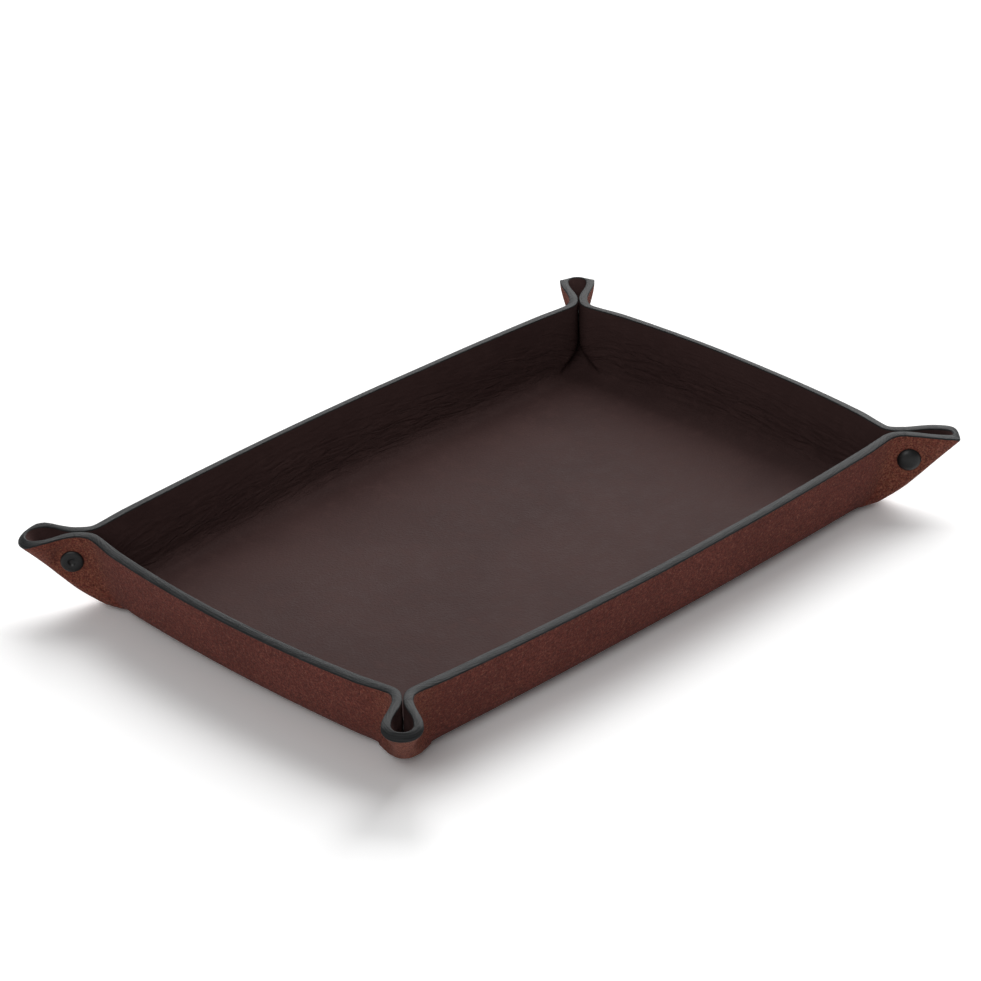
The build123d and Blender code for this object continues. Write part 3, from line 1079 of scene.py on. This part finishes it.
# %% The floor
floor_reach = 3
floor_drop = 0.0002
paper_to_rays = (0.8, 0.8, 0.8, 1)
paper_to_camera = (1.12, 1.12, 1.12, 1)
floor_mesh = bpy.data.meshes.new("floor")
floor_signs = ((-1, -1), (1, -1), (1, 1), (-1, 1))
floor_corners = [(x * floor_reach, y * floor_reach, -floor_drop) for x, y in floor_signs]
floor_mesh.from_pydata(floor_corners, [], [(0, 1, 2, 3)])
floor = bpy.data.objects.new("floor", floor_mesh)
bpy.context.collection.objects.link(floor)
paper = bpy.data.materials.new("white_paper")
paper.use_nodes = True
paper_nodes = paper.node_tree.nodes
paper_nodes.clear()
paper_output = paper_nodes.new("ShaderNodeOutputMaterial")
paper_diffuse = paper_nodes.new("ShaderNodeBsdfDiffuse")
paper_path = paper_nodes.new("ShaderNodeLightPath")
paper_colour = paper_nodes.new("ShaderNodeMix")
paper_colour.data_type = "RGBA"
paper_colour.inputs[mix_first].default_value = paper_to_rays
paper_colour.inputs[mix_second].default_value = paper_to_camera
paper.node_tree.links.new(paper_path.outputs["Is Camera Ray"], paper_colour.inputs["Factor"])
paper.node_tree.links.new(paper_colour.outputs[mix_result], paper_diffuse.inputs["Color"])
paper.node_tree.links.new(paper_diffuse.outputs["BSDF"], paper_output.inputs["Surface"])
floor_mesh.materials.append(paper)
print("the paper is", 2 * floor_reach, "m wide")

# %% The world
world_light = 0.26
world = bpy.data.worlds.new("studio")
bpy.context.scene.world = world
world.use_nodes = True
world_nodes = world.node_tree.nodes
backdrop = world_nodes["Background"]
world_path = world_nodes.new("ShaderNodeLightPath")
world_strength = world_nodes.new("ShaderNodeMapRange")
world_strength.inputs["To Min"].default_value = world_light
world_strength.inputs["To Max"].default_value = 1
world.node_tree.links.new(world_path.outputs["Is Camera Ray"], world_strength.inputs["Value"])
world.node_tree.links.new(world_strength.outputs["Result"], backdrop.inputs["Strength"])
backdrop.inputs["Color"].default_value = (1, 1, 1, 1)
print("the world lights at", world_light)

# %% [markdown]
# Two soft boxes light the tray: a large one behind it, which makes the rim shine and throws the shadow
# towards the camera, and a weak one on the camera's side, which lightens the insides of the far walls.

# %% Lamps


def soft_box(name, place, target, size, power):
    lamp = bpy.data.lights.new(name, "AREA")
    lamp.shape = "SQUARE"
    lamp.size = size
    lamp.energy = power
    holder = bpy.data.objects.new(name, lamp)
    bpy.context.collection.objects.link(holder)
    holder.location = place
    holder.rotation_euler = (Vector(target) - Vector(place)).to_track_quat("-Z", "Y").to_euler()


tray_middle = (0, 0, 0)
soft_box("top_light", place=(2.6, 1.6, 2.5), target=tray_middle, size=3.4, power=205)
soft_box("fill_light", place=(-1.8, -0.9, 1.5), target=tray_middle, size=1.5, power=16)
print("lamps:", ", ".join(lamp.name for lamp in bpy.data.lights))

# %% [markdown]
# The camera stands where the photograph was taken from: its bearing, height, roll and distance were worked
# out from the four necks and tips. Its lens follows from the focal length in pixels.

# %% Camera
image_pixels = 981
focal_pixels = 3932
pixels_per_millimetre = 2.35
camera_azimuth = math.radians(-45.06)
camera_elevation = math.radians(28.57)
camera_roll = math.radians(-0.91)
camera_distance = focal_pixels / pixels_per_millimetre * millimetre
camera_shift_right = 0.0039
camera_shift_up = -0.02584
back = Vector((
    math.sin(camera_azimuth) * math.cos(camera_elevation),
    -math.cos(camera_azimuth) * math.cos(camera_elevation),
    math.sin(camera_elevation),
))
right = Vector((math.cos(camera_azimuth), math.sin(camera_azimuth), 0))
up = back.cross(right)
rolled_right = right * math.cos(camera_roll) + up * math.sin(camera_roll)
rolled_up = up * math.cos(camera_roll) - right * math.sin(camera_roll)
camera_place = back * camera_distance - rolled_right * camera_shift_right - rolled_up * camera_shift_up
camera_data = bpy.data.cameras.new("camera")
camera_data.sensor_width = 36
camera_data.lens = focal_pixels / image_pixels * camera_data.sensor_width
camera = bpy.data.objects.new("camera", camera_data)
bpy.context.collection.objects.link(camera)
camera_turn = Matrix((rolled_right, rolled_up, back)).transposed().to_4x4()
camera.matrix_world = Matrix.Translation(camera_place) @ camera_turn
bpy.context.scene.camera = camera
bpy.context.scene.view_settings.view_transform = "Standard"
print("the lens is", round(camera_data.lens, 1), "mm")
